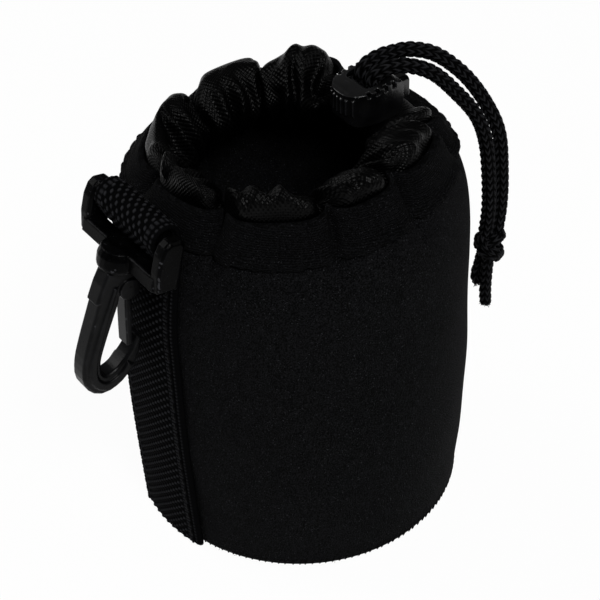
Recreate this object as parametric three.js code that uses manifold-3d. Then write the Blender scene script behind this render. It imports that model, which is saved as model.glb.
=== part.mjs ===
// Drawstring lens pouch: a sewn neoprene body with a gathered nylon mouth, a cord lock and a swivel hook.
// Millimetres, +Z up, origin in the middle of the base. The webbing and its hook are on the -X side, the
// cord lock is on the +X side. Side profiles are drawn as (outward, height), where outward is -X.
import * as THREE from "three";
import { mergeVertices } from "three/addons/utils/BufferGeometryUtils.js";
import Module from "manifold-3d";

const { clamp, lerp, smoothstep, degToRad } = THREE.MathUtils;
const wasm = await Module();
wasm.setup();

// Driving dimensions: clearances
const gap = 0.3; // between pieces that touch or are sewn together

// Driving dimensions: neoprene body
const neoprene = 5; // wall and base thickness
const bodyRadius = 45; // outside, at the widest
const baseTaper = 2.4; // how much smaller the radius is at the base seam
const baseEdge = 1.4; // rounding of the base seam
const swellShare = 0.45; // of the height, where the wall reaches its full radius
const collarTop = 111; // height of the sewn edge round the mouth
const shoulderHeight = 27; // from where the wall starts to draw in up to that edge
const shoulderDraw = 8; // how far the wall is drawn in there
const collarHeight = 9;
const collarLap = 1.4; // of the wall's top edge, under the collar
const collarThickness = 2.2;
const collarProud = 0.4; // how far the collar stands out from the wall
const gatherHeight = 18; // of the creases below the sewn edge
const mouthSag = 5; // how far the far side of the mouth has slumped
const sagAngle = degToRad(115);
const mouthLift = 3.5; // how far the near side of the mouth stands higher, away from the webbing
const liftAngle = degToRad(290);
const creaseDepth = 2.2;
const creaseSpread = degToRad(6);
const creaseAngles = [36, 64, 97, 135, 160, 205, 249, 280, 320].map(degToRad);

// Driving dimensions: nylon casing of the mouth
const cloth = 0.9; // doubled nylon
const casingEase = 0.8; // between the collar and the nylon inside it
const casingReach = 15.2; // from the sewn edge in to the mouth
const mouthDrop = 6.6; // of the casing's inner fold below the sewn edge
const crownInset = 4.2; // from the collar's top edge in to the crown
const crownRise = 0.8;
const channelDrop = 12.8; // of the casing's underside below the sewn edge
const pleatCount = 16;
const pleatHeight = 1.1;

// Driving dimensions: drawcord
const cordDiameter = 4;
const cordSides = 8;
const tailSpread = 2.6; // of each tail's end from the knot's middle
const knotLength = 10;
const knotRadius = 5.2;
const longTail = 17;
const shortTail = 14.5;
const hangOut = 12.5; // of the hanging strands from the wall

// Driving dimensions: cord lock
const lockInset = 2.7; // from the mouth's edge out to the middle of the cord hole
const lockSink = 6.4; // of the gathers pressed flat under the lock
const lockHeight = 10.5;
const lockInnerReach = 9.6; // from the cord hole to the ribbed end
const lockOuterReach = 6.4; // from the cord hole to the button end
const lockSkin = 1.6; // of the lock's top, bottom and ribbed end
const lockFlank = 1.15; // wall of the lock's flanks at the widest
const lockNose = 0.9; // wall of the lock's flanks where they round in to the ribbed end
const lockFullness = 2.4; // 2 would make the ribbed end an ellipse in plan
const lockTaper = 0.05; // share of its width that the lock loses at the button end
const plungerTravel = 2.4;
const plungerStandout = 3.2; // of the button past the body
const plungerRound = 1.4;
const holeWall = 1.1; // of the plunger between the cords and the spring
const holeFlank = 0.7; // of the plunger on each side of the cords
const valleyKeep = 0.2; // share of the gathers' height left under the lock
const valleyFlat = degToRad(17);
const valleyEdge = degToRad(34);
const gripRibs = 7;
const ribRadius = 0.45;
const ribSpan = 8.4;
const flankNotches = 4;
const notchPitch = 2.5;
const notchSize = 1.1;
const springWire = 0.5;
const springRadius = 2.2; // to the middle of the wire
const springTurns = 4;

// Driving dimensions: webbing
const webbingWidth = 25;
const webbing = 1.8; // thickness
const webbingFoot = 0.8; // height of its lower end
const strapDent = 1.5; // how far the strap draws the shoulder in
const dentFlat = degToRad(18);
const dentEdge = degToRad(38);
const dentTop = 15; // below the sewn edge, where the dent is full
const dentFade = 22; // height over which it fades out
const barStandout = 5.93; // of the hook's bar from the wall
const barDrop = 4.5; // of the hook's bar below the sewn edge
const loopDrop = 8.1; // below the bar, where the two layers of the loop meet
const foldDrop = 14; // below the bar, where the folded end is sewn down

// Driving dimensions: swivel hook, as distances below the bar along the hook
const hookLean = degToRad(12);
const barRadius = 2.1;
const barPlay = 0.4; // between the bar and the loop round it
const wingThickness = 4;
const wingPlay = 0.5; // between a wing and the webbing's edge
const wingRise = 2.4;
const wingDrop = 11.6;
const wingFront = 4.6;
const wingBack = 2.4;
const crossbarDrop = 7.6;
const crossbarFront = 4.6;
const crossbarBack = -0.2;
const swivelOffset = 4; // of the swivel's axis outward from the bar
const bossRadius = 5.2;
const bossTop = 6.4;
const bossBottom = 12.9;
const neckRadius = 2;
const stemHeadRadius = 3.2;
const stemHeadTop = 8.6;
const stemHeadBottom = 10.9;
const hookThickness = 5;
const hookRib = 0.8; // how far the central rib stands out from each face
const gateWidth = 4.2;
const gateThickness = 1.8;
const gateRoot = 1.5; // radius of the gate's root
const gateCheek = 1.1; // of the hook round the gate's root
const gateRootIn = 2.5; // of the gate's root towards the wall from the swivel's axis
const gateRootDrop = 5.6; // of the gate's root below the hook's top
const gateEndShare = 0.702; // of the hook's depth, where the gate ends
const gateSlant = 2.85; // of the gate's end towards the wall from its root
const hookDepth = 33.6; // from the hook's top to the lowest point of its middle line
const hookBow = 5.4; // of its middle line outward from the swivel's axis
const hookBand = 2.7; // half the width of the hook's band
const hookEdge = 0.55; // bevel of its edges
const ribEdge = 0.3; // bevel of its rib

// Heights and radii that follow
const baseRadius = bodyRadius - baseTaper;
const swellHeight = swellShare * collarTop;
const shoulderStart = collarTop - shoulderHeight;
const collarTopRadius = bodyRadius - shoulderDraw;
const collarBottom = collarTop - collarHeight;
const wallTop = collarBottom + collarLap;
const creaseStart = collarTop - gatherHeight;
const mouthRadius = collarTopRadius - casingReach;
const mouthHeight = collarTop - mouthDrop;
const channelFloor = collarTop - channelDrop;
const valleyFloor = collarTop - lockSink;
const lockX = mouthRadius + lockInset;
const dentFull = collarTop - dentTop;
const dentStart = dentFull - dentFade;
const barHeight = collarTop - barDrop;
const barReach = wallRadius(barHeight) + barStandout;
const foldJoin = barHeight - loopDrop;
const foldEnd = barHeight - foldDrop;
const hookTop = -bossBottom - gap;
const gateRootAt = new THREE.Vector2(-gateRootIn, hookTop - gateRootDrop);
const gateEndAt = new THREE.Vector2(-gateRootIn - gateSlant, hookTop - gateEndShare * hookDepth);

const ringSegments = 80;
const materials = {
  neoprene: new THREE.MeshStandardMaterial({ color: 0x17181a, roughness: 0.92 }),
  nylon: new THREE.MeshStandardMaterial({ color: 0x131416, roughness: 0.55 }),
  cord: new THREE.MeshStandardMaterial({ color: 0x111113, roughness: 0.7 }),
  webbing: new THREE.MeshStandardMaterial({ color: 0x151617, roughness: 0.75 }),
  plastic: new THREE.MeshStandardMaterial({ color: 0x1d1f21, roughness: 0.42 }),
  steel: new THREE.MeshStandardMaterial({ color: 0xb4b8bc, roughness: 0.3, metalness: 1 }),
};
const pouch = new THREE.Group();

function addMesh(name, geometry, material, parent = pouch) {
  const mesh = new THREE.Mesh(geometry, material);
  mesh.name = name;
  parent.add(mesh);
  return mesh;
}

// Joining and cutting
function solidOf(geometry) {
  const bare = geometry.clone();
  bare.deleteAttribute("normal");
  bare.deleteAttribute("uv");
  const merged = mergeVertices(bare, 1e-4);
  const vertProperties = merged.attributes.position.array;
  const corners = merged.index.array;
  const whole = [];
  for (let i = 0; i < corners.length; i += 3) {
    const [a, b, c] = corners.slice(i, i + 3);
    if (a !== b && b !== c && c !== a) whole.push(a, b, c);
  }
  const triVerts = new Uint32Array(whole);
  return new wasm.Manifold(new wasm.Mesh({ numProp: 3, vertProperties, triVerts }));
}

function geometryOf(solid) {
  const mesh = solid.getMesh();
  const geometry = new THREE.BufferGeometry();
  geometry.setAttribute("position", new THREE.BufferAttribute(mesh.vertProperties, 3));
  geometry.setIndex(new THREE.BufferAttribute(mesh.triVerts, 1));
  geometry.computeVertexNormals();
  return geometry;
}

function join(geometries) {
  return geometries.map(solidOf).reduce((whole, next) => whole.add(next));
}

// A ring round Z from its section at each angle, a closed anticlockwise list of [radius, height].
function loftRing(sectionAt) {
  const positions = [];
  const index = [];
  let count = 0;
  for (let i = 0; i < ringSegments; i++) {
    const angle = (2 * Math.PI * i) / ringSegments;
    const section = sectionAt(angle);
    count = section.length;
    for (const [radius, height] of section) {
      positions.push(radius * Math.cos(angle), radius * Math.sin(angle), height);
    }
  }
  for (let i = 0; i < ringSegments; i++) {
    const next = (i + 1) % ringSegments;
    for (let j = 0; j < count; j++) {
      const k = (j + 1) % count;
      index.push(i * count + j, next * count + j, i * count + k);
      index.push(i * count + k, next * count + j, next * count + k);
    }
  }
  const geometry = new THREE.BufferGeometry();
  geometry.setAttribute("position", new THREE.Float32BufferAttribute(positions, 3));
  geometry.setIndex(index);
  geometry.computeVertexNormals();
  return geometry;
}

// A turned solid round Z, from a profile of (radius, height) points.
function turn(points, segments) {
  const profile = points.map(([radius, height]) => new THREE.Vector2(radius, height));
  return new THREE.LatheGeometry(profile, segments).rotateX(Math.PI / 2);
}

// A side profile of (outward, height) given its width along Y, centred.
function extrudeSide(shape, width, options = {}) {
  const bevel = options.bevel ?? 0;
  const geometry = new THREE.ExtrudeGeometry(shape, {
    depth: width - 2 * bevel,
    steps: options.steps ?? 1,
    curveSegments: options.curveSegments ?? 6,
    bevelEnabled: bevel > 0,
    bevelThickness: bevel,
    bevelSize: bevel,
    bevelOffset: -bevel,
    bevelSegments: 1,
  });
  return geometry.translate(0, 0, bevel - width / 2).rotateX(Math.PI / 2).rotateZ(Math.PI);
}

// A ribbon-like side profile round a centre line, with its own half-width at each point.
function ribbon(points) {
  const line = new THREE.SplineCurve(points.map(([x, y]) => new THREE.Vector2(x, y)));
  const widths = new THREE.SplineCurve(points.map(([, , half], i) => new THREE.Vector2(i, half)));
  const samples = 3 * (points.length - 1);
  const left = [];
  const right = [];
  for (let i = 0; i <= samples; i++) {
    const at = line.getPoint(i / samples);
    const along = line.getTangent(i / samples);
    const half = widths.getPoint(i / samples).y;
    const across = new THREE.Vector2(-along.y, along.x).multiplyScalar(half);
    left.push(at.clone().add(across));
    right.push(at.clone().sub(across));
  }
  return new THREE.Shape(left.concat(right.reverse()));
}

function roundedBlock(width, height, round) {
  const x = width / 2 - round;
  const y = height / 2 - round;
  const shape = new THREE.Shape();
  shape.absarc(x, y, round, 0, Math.PI / 2);
  shape.absarc(-x, y, round, Math.PI / 2, Math.PI);
  shape.absarc(-x, -y, round, Math.PI, 1.5 * Math.PI);
  shape.absarc(x, -y, round, 1.5 * Math.PI, 2 * Math.PI);
  return shape;
}

function cordTube(points, steps) {
  const section = new THREE.Shape();
  for (let i = 0; i < cordSides; i++) {
    const angle = (2 * Math.PI * (i + 0.5)) / cordSides;
    const x = (cordDiameter / 2) * Math.cos(angle);
    const y = (cordDiameter / 2) * Math.sin(angle);
    if (i) section.lineTo(x, y);
    else section.moveTo(x, y);
  }
  const route = new THREE.CatmullRomCurve3(points.map(([x, y, z]) => new THREE.Vector3(x, y, z)));
  return new THREE.ExtrudeGeometry(section, { steps, extrudePath: route });
}

// Shape of the sewn body: its plain radius, then what the gathers, the strap and the lock do to it
function wallRadius(height) {
  const swell = Math.sin((Math.PI / 2) * Math.min(height / swellHeight, 1));
  const up = Math.max(0, (height - shoulderStart) / (collarTop - shoulderStart));
  const drawnIn = 1 - Math.cos((Math.PI / 2) * Math.min(up, 1));
  return lerp(baseRadius, bodyRadius, swell) - (bodyRadius - collarTopRadius) * drawnIn;
}

function turnsApart(a, b) {
  const apart = Math.abs(a - b) % (2 * Math.PI);
  return Math.min(apart, 2 * Math.PI - apart);
}

function dentDepth(height) {
  return strapDent * smoothstep(height, dentStart, dentFull);
}

function slumped(angle, height) {
  const low = ((1 + Math.cos(angle - sagAngle)) / 2) ** 2.5;
  const high = ((1 + Math.cos(angle - liftAngle)) / 2) ** 8;
  const moved = mouthLift * high - mouthSag * low;
  return height + moved * smoothstep(height, shoulderStart, channelFloor - cloth);
}

function gathered(angle, [radius, height]) {
  let creases = 0;
  for (const crease of creaseAngles) {
    creases += Math.exp(-((turnsApart(angle, crease) / creaseSpread) ** 2));
  }
  const reach = smoothstep(radius, mouthRadius, collarTopRadius - crownInset);
  const drawn = creaseDepth * creases * reach * smoothstep(height, creaseStart, collarTop);
  const dent = dentDepth(height) * (1 - smoothstep(turnsApart(angle, Math.PI), dentFlat, dentEdge)) * reach;
  const pressed = 1 - smoothstep(turnsApart(angle, 0), valleyFlat, valleyEdge);
  const above = Math.max(0, height - valleyFloor);
  const settled = height - above * pressed * (1 - valleyKeep);
  return [radius - drawn - dent, slumped(angle, settled)];
}

function basePanel() {
  const radius = baseRadius - neoprene - gap;
  const profile = [
    [0, 0],
    [radius - baseEdge / 2, 0],
    [radius, baseEdge / 2],
    [radius, neoprene - baseEdge / 2],
    [radius - baseEdge / 2, neoprene],
    [0, neoprene],
  ];
  return turn(profile, 48);
}

function wallPanel() {
  const rebate = collarThickness + gap - collarProud;
  const ledge = collarBottom - gap;
  const outside = [swellHeight * 0.4, swellHeight, shoulderStart, lerp(shoulderStart, ledge, 0.5), ledge];
  const inside = [wallTop, ledge, lerp(shoulderStart, ledge, 0.5), shoulderStart, swellHeight, swellHeight * 0.4, 0];
  const section = [
    [baseRadius - baseEdge, 0],
    [wallRadius(baseEdge), baseEdge],
    ...outside.map((height) => [wallRadius(height), height]),
    [wallRadius(ledge) - rebate, ledge],
    [wallRadius(wallTop) - rebate, wallTop],
    ...inside.map((height) => [wallRadius(height) - neoprene, height]),
  ];
  return loftRing((angle) => section.map((point) => gathered(angle, point)));
}

function collarBand() {
  const outside = (height) => wallRadius(height) + collarProud;
  const lip = collarThickness / 4;
  const upper = lerp(wallTop, collarTop, 0.5);
  const section = [
    [outside(collarBottom) - lip, collarBottom],
    [outside(collarBottom + lip), collarBottom + lip],
    [outside(wallTop), wallTop],
    [outside(upper), upper],
    [outside(collarTop - lip), collarTop - lip],
    [outside(collarTop) - lip, collarTop],
    [outside(collarTop) - collarThickness + lip, collarTop],
    [outside(collarTop - lip) - collarThickness, collarTop - lip],
    [outside(upper) - collarThickness, upper],
    [outside(wallTop) - collarThickness, wallTop],
    [outside(collarBottom) - collarThickness, collarBottom],
  ];
  return loftRing((angle) => section.map((point) => gathered(angle, point)));
}

// The casing is nylon folded over the cord: up inside the collar, over the crown to the mouth's edge and back
// below to the wall's inner face, open towards the wall's top edge.
function mouthCasing() {
  const inCollar = (height) => wallRadius(height) + collarProud - collarThickness - casingEase;
  const crown = [collarTopRadius - crownInset, collarTop + crownRise];
  const foot = wallTop + cloth + gap;
  const slope = (share, puff) => [
    lerp(mouthRadius, crown[0], share),
    lerp(mouthHeight, crown[1], share) + puff,
  ];
  const backRadius = wallRadius(channelFloor) - neoprene - gap;
  const route = [
    [inCollar(foot), foot],
    [inCollar(collarTop), collarTop - cloth / 2],
    crown,
    slope(0.62, 0.9),
    slope(0.28, 1),
    [mouthRadius, mouthHeight],
    [mouthRadius + cloth, lerp(mouthHeight, channelFloor, 0.6)],
    [lerp(mouthRadius, backRadius, 0.25), channelFloor],
    [lerp(mouthRadius, backRadius, 0.65), channelFloor - cloth / 2],
    [backRadius - strapDent, channelFloor],
  ];
  const pleatFrom = 2;
  const pleatTo = 5;
  const geometry = loftRing((angle) => {
    const pleat = (pleatHeight / 2) * (1 + Math.cos(pleatCount * angle + Math.sin(3 * angle)));
    const drawn = route.map(([radius, height], i) => {
      const lifted = i > pleatFrom && i < pleatTo ? height + pleat : height;
      return new THREE.Vector2(...gathered(angle, [radius, lifted]));
    });
    const outer = new THREE.SplineCurve(drawn).getPoints(8);
    const inner = outer.map((point, i) => {
      const along = outer[Math.min(i + 1, outer.length - 1)].clone().sub(outer[Math.max(i - 1, 0)]).normalize();
      return new THREE.Vector2(point.x - cloth * along.y, point.y + cloth * along.x);
    });
    const lining = inner.filter((point, i) => i % 2 === 0 || i === 5).reverse();
    return [...outer, ...lining].map((point) => [point.x, point.y]);
  });
  const slotLength = 2 * cordDiameter + 4 * gap + cordDiameter;
  const buttonhole = new THREE.BoxGeometry(cordDiameter + 4 * gap, slotLength, 1.3 * cordDiameter);
  buttonhole.translate(lockX, 0, valleyFloor + 0.1 * cordDiameter);
  return geometryOf(solidOf(geometry).subtract(solidOf(buttonhole)));
}

// Drawcord: round the casing, up through the lock, and down to the knot
const cordRadius = cordDiameter / 2;
const cordSpacing = cordRadius + gap / 2; // from the middle plane to each cord in the lock
const lockBottom = lerp(valleyFloor, collarTop + crownRise, valleyKeep) + gap;
const lockTop = lockBottom + lockHeight;
const lockMiddle = (lockBottom + lockTop) / 2;

function drawcordRun() {
  const ringRadius = mouthRadius + 3 * cloth + 2 * gap + cordRadius;
  const ringHeight = channelFloor + cloth + 2 * gap + cordRadius;
  const bend = cordDiameter + gap;
  const leave = Math.asin((cordSpacing + bend) / ringRadius);
  const leg = (side) => [
    [lockX, side * cordSpacing, lockTop],
    [lockX, side * cordSpacing, lockMiddle],
    [lockX, side * cordSpacing, ringHeight + bend],
    [lerp(lockX, ringRadius, 0.3), side * (cordSpacing + bend * 0.29), ringHeight + bend * 0.29],
  ];
  const ring = [];
  const stations = 22;
  for (let i = 0; i <= stations; i++) {
    const angle = lerp(leave, 2 * Math.PI - leave, i / stations);
    ring.push([ringRadius * Math.cos(angle), ringRadius * Math.sin(angle), slumped(angle, ringHeight)]);
  }
  return cordTube([...leg(1), ...ring, ...leg(-1).reverse()], 72);
}

// A strand's route: share of the way out to where it hangs, distance aside, height above the lock's top.
function strandRoute(side, rows) {
  const start = [lockX, side * cordSpacing, lockTop + gap];
  const rise = [lockX, side * cordSpacing, lockTop + cordRadius];
  const rest = rows.map(([share, aside, rise]) => [
    lerp(lockX, bodyRadius + hangOut, share),
    aside * cordDiameter,
    lockTop + rise * cordDiameter,
  ]);
  return [start, rise, ...rest];
}

const upperRoute = strandRoute(1, [
  [0.04, 0.5, 0.86],
  [0.12, 0.3, 1.08],
  [0.21, 0.05, 1.06],
  [0.365, -0.6, 0.96],
  [0.535, -1.45, 0.2],
  [0.725, -2.4, -1.58],
  [0.88, -3.15, -3.95],
  [0.97, -3.6, -6.21],
  [1, -3.78, -9.46],
  [1.01, -3.85, -11.96],
  [1, -3.8, -13.81],
]);
const lowerRoute = strandRoute(-1, [
  [0.03, -0.7, 0.8],
  [0.105, -1, 0.98],
  [0.25, -1.48, 0.68],
  [0.427, -1.98, -0.25],
  [0.6, -2.4, -2.05],
  [0.75, -2.68, -4.01],
  [0.83, -2.83, -6.21],
  [0.86, -2.95, -8.84],
  [0.88, -3.05, -11.71],
  [0.885, -3.15, -13.81],
]);

function knotMiddle() {
  const upper = new THREE.Vector3(...upperRoute.at(-1));
  const lower = new THREE.Vector3(...lowerRoute.at(-1));
  return upper.add(lower).multiplyScalar(0.5);
}

function drawcordKnot() {
  const bulge = (share, radius) => [radius, knotLength * (0.5 - share)];
  const profile = [
    bulge(1, 0),
    bulge(1, knotRadius * 0.72),
    bulge(0.86, knotRadius * 0.96),
    bulge(0.7, knotRadius),
    bulge(0.52, knotRadius * 0.82),
    bulge(0.34, knotRadius),
    bulge(0.16, knotRadius * 0.98),
    bulge(0, knotRadius * 0.85),
    bulge(0, 0),
  ];
  const middle = knotMiddle();
  return turn(profile, 16).translate(middle.x, middle.y, middle.z - gap - knotLength / 2);
}

function drawcordTail(length, side) {
  const middle = knotMiddle();
  const top = middle.z - 2 * gap - knotLength;
  const point = (spread, drop) => [middle.x + side * spread, middle.y - side * spread * 0.7, top - drop];
  const start = cordRadius * 0.9;
  return cordTube([point(start, 0), point(start, length * 0.3), point(tailSpread, length)], 6);
}

// Cord lock: a moulded body with its hole for the two cords, a sprung plunger and the spring
const cavityInner = lockX - lockInnerReach + lockSkin;
const plungerHeight = lockHeight - 2 * lockSkin - 2 * gap;
const holeWidth = 4 * cordRadius + 3 * gap;
const plungerHalfWidth = holeWidth / 2 + holeFlank;
const lockWidth = 2 * (plungerHalfWidth + gap + lockFlank);
const lockLength = lockInnerReach + lockOuterReach;
const holeStart = lockX - cordRadius - gap; // the plunger's edge that grips the cords
const plungerHole = cordDiameter + plungerTravel + 2 * gap;
const plungerInner = holeStart - holeWall;
const plungerOuter = lockX + lockOuterReach + plungerStandout;

// Half-widths in plan at a distance out from the ribbed end.
function lockHalfWidth(along) {
  const inner = clamp(1 - along / lockInnerReach, 0, 1);
  const outer = Math.max(0, along - lockInnerReach) / lockOuterReach;
  return (lockWidth / 2) * (1 - inner ** lockFullness) ** (1 / lockFullness) * (1 - lockTaper * outer ** 2);
}

function cavityHalfWidth(along) {
  return Math.min(plungerHalfWidth + gap, lockHalfWidth(along) - lockNose);
}

function buttonHalfWidth(along) {
  const pressed = Math.min(along, lockLength) - plungerTravel;
  return Math.min(plungerHalfWidth, lockHalfWidth(pressed) - lockNose - 2 * gap);
}

// A plan between two X positions, given its height about the lock's middle.
function lockBlock(from, to, halfWidthAt, height) {
  const stations = 12;
  const near = [];
  const far = [];
  for (let i = 0; i <= stations; i++) {
    const x = lerp(from, to, (i / stations) ** 1.6);
    const half = halfWidthAt(x - lockX + lockInnerReach);
    near.push(new THREE.Vector2(x, -half));
    if (half > 0) far.unshift(new THREE.Vector2(x, half));
  }
  const block = new THREE.ExtrudeGeometry(new THREE.Shape([...near, ...far]), {
    depth: height,
    bevelEnabled: false,
  });
  return solidOf(block.translate(0, 0, lockMiddle - height / 2));
}

// An oval hole along Z between two X positions.
function cordHole(from, to) {
  const shape = roundedBlock(to - from, holeWidth, cordRadius);
  const height = 2 * lockHeight;
  const hole = new THREE.ExtrudeGeometry(shape, { depth: height, bevelEnabled: false, curveSegments: 4 });
  return hole.translate((from + to) / 2, 0, lockMiddle - height / 2);
}

// A rounded bar along X between two X positions, with its ends rounded too.
function barAlongX(from, to, width, height, round) {
  const bevel = round / 2;
  const bar = new THREE.ExtrudeGeometry(roundedBlock(width, height, round), {
    depth: to - from - 2 * bevel,
    curveSegments: 3,
    bevelThickness: bevel,
    bevelSize: bevel,
    bevelOffset: -bevel,
    bevelSegments: 2,
  });
  bar.translate(0, 0, bevel).rotateX(Math.PI / 2).rotateZ(Math.PI / 2);
  return bar.translate(from, 0, lockMiddle);
}

function lockBody() {
  const start = lockX - lockInnerReach;
  const bulge = lockHeight * 0.3;
  const side = new THREE.Shape();
  side.moveTo(-start, lockTop - lockHeight * 0.16);
  side.quadraticCurveTo(-start - bulge * 0.1, lockTop, -start - bulge, lockTop);
  side.lineTo(-start - lockLength + bulge, lockTop);
  side.quadraticCurveTo(-start - lockLength, lockTop, -start - lockLength, lockTop - bulge);
  side.lineTo(-start - lockLength, lockBottom + bulge);
  side.quadraticCurveTo(-start - lockLength, lockBottom, -start - lockLength + bulge, lockBottom);
  side.lineTo(-start - 1.2 * bulge, lockBottom);
  side.quadraticCurveTo(-start, lockBottom, -start, lockBottom + 1.2 * bulge);
  const outline = lockBlock(start, start + lockLength, lockHalfWidth, lockHeight);
  const block = outline.intersect(solidOf(extrudeSide(side, 2 * lockWidth)));
  const cavity = lockBlock(cavityInner, plungerOuter, cavityHalfWidth, plungerHeight + 2 * gap);
  const hole = cordHole(holeStart - cordRadius, lockX + cordRadius + gap);
  const cuts = [cavity, solidOf(hole)];
  for (let i = 0; i < flankNotches; i++) {
    const along = lockInnerReach * 0.55 + i * notchPitch;
    for (const flank of [-1, 1]) {
      const notch = new THREE.BoxGeometry(notchSize, 2 * notchSize, 2 * notchSize);
      cuts.push(solidOf(notch.translate(start + along, flank * lockHalfWidth(along), lockTop - notchSize)));
    }
  }
  const ribs = [];
  for (let i = 0; i < gripRibs; i++) {
    const y = lerp(-ribSpan / 2, ribSpan / 2, i / (gripRibs - 1));
    const inner = (1 - (Math.abs(y) / (lockWidth / 2)) ** lockFullness) ** (1 / lockFullness);
    const rib = new THREE.CylinderGeometry(ribRadius, ribRadius, lockHeight * 0.42, 6).rotateX(Math.PI / 2);
    ribs.push(rib.translate(lockX - lockInnerReach * inner, y, lockMiddle + lockHeight * 0.06));
  }
  const whole = ribs.reduce((body, rib) => body.add(solidOf(rib)), block);
  return geometryOf(cuts.reduce((body, cut) => body.subtract(cut), whole));
}

function lockPlunger() {
  const plan = lockBlock(plungerInner, plungerOuter, buttonHalfWidth, plungerHeight);
  const rounded = barAlongX(plungerInner, plungerOuter, 2 * plungerHalfWidth, plungerHeight, plungerRound);
  const hole = cordHole(holeStart, holeStart + plungerHole);
  return geometryOf(plan.intersect(solidOf(rounded)).subtract(solidOf(hole)));
}

function lockSpring() {
  const from = cavityInner + gap + springWire / 2;
  const to = plungerInner - gap - springWire / 2;
  const points = [];
  const stepsPerTurn = 8;
  for (let i = 0; i <= springTurns * stepsPerTurn; i++) {
    const angle = (2 * Math.PI * i) / stepsPerTurn;
    const along = lerp(from, to, i / (springTurns * stepsPerTurn));
    points.push(
      new THREE.Vector3(along, springRadius * Math.cos(angle), lockMiddle + springRadius * Math.sin(angle)),
    );
  }
  const section = new THREE.Shape();
  section.absarc(0, 0, springWire / 2, 0, 2 * Math.PI);
  return new THREE.ExtrudeGeometry(section, {
    steps: springTurns * stepsPerTurn,
    curveSegments: 5,
    extrudePath: new THREE.CatmullRomCurve3(points),
  });
}

// Webbing: up the wall from the base seam, round the hook's bar and back down on itself, sewn at its end
function webbingStrap() {
  const inside = (height) => wallRadius(height) - dentDepth(height) + gap;
  const eyeRadius = barRadius + barPlay;
  const loopRadius = eyeRadius + webbing;
  const heights = [webbingFoot, swellHeight * 0.5, swellHeight, dentStart, shoulderStart, foldEnd];
  const single = (height) => inside(height) + webbing;
  const double = (height) => inside(height) + 2 * webbing;
  // Angle round the bar where a layer leaving a point, to its front (-1) or back (1), meets a circle.
  const meets = (x, height, radius, side) => {
    const toBar = Math.atan2(barHeight - height, barReach - x);
    const aside = Math.asin(radius / Math.hypot(barReach - x, barHeight - height));
    return toBar + side * (aside + Math.PI / 2);
  };
  const outerFront = [double(foldJoin), foldJoin - webbing];
  const outerBack = [inside(foldJoin), foldJoin];
  const crotch = [single(foldJoin), foldJoin + webbing / 2];
  const profile = new THREE.Shape();
  profile.moveTo(inside(webbingFoot), webbingFoot);
  for (const height of heights.slice(1)) profile.lineTo(inside(height), height);
  profile.lineTo(...outerBack);
  const over = [meets(...outerBack, loopRadius, 1), meets(...outerFront, loopRadius, -1)];
  profile.absarc(barReach, barHeight, loopRadius, ...over, true);
  profile.lineTo(...outerFront);
  profile.lineTo(double(foldEnd), foldEnd);
  for (const height of heights.toReversed()) profile.lineTo(single(height), height);
  const eye = new THREE.Path();
  eye.absarc(barReach, barHeight, eyeRadius, meets(...crotch, eyeRadius, -1), meets(...crotch, eyeRadius, 1), false);
  eye.lineTo(...crotch);
  profile.holes.push(eye);
  const geometry = extrudeSide(profile, webbingWidth, { steps: 6 });
  const place = geometry.attributes.position;
  for (let i = 0; i < place.count; i++) {
    const y = place.getY(i);
    const onWall = 1 - smoothstep(place.getZ(i), shoulderStart, barHeight);
    const sag = bodyRadius - Math.sqrt(bodyRadius ** 2 - y ** 2);
    place.setX(i, place.getX(i) + sag * onWall);
  }
  geometry.computeVertexNormals();
  return geometry;
}

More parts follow.
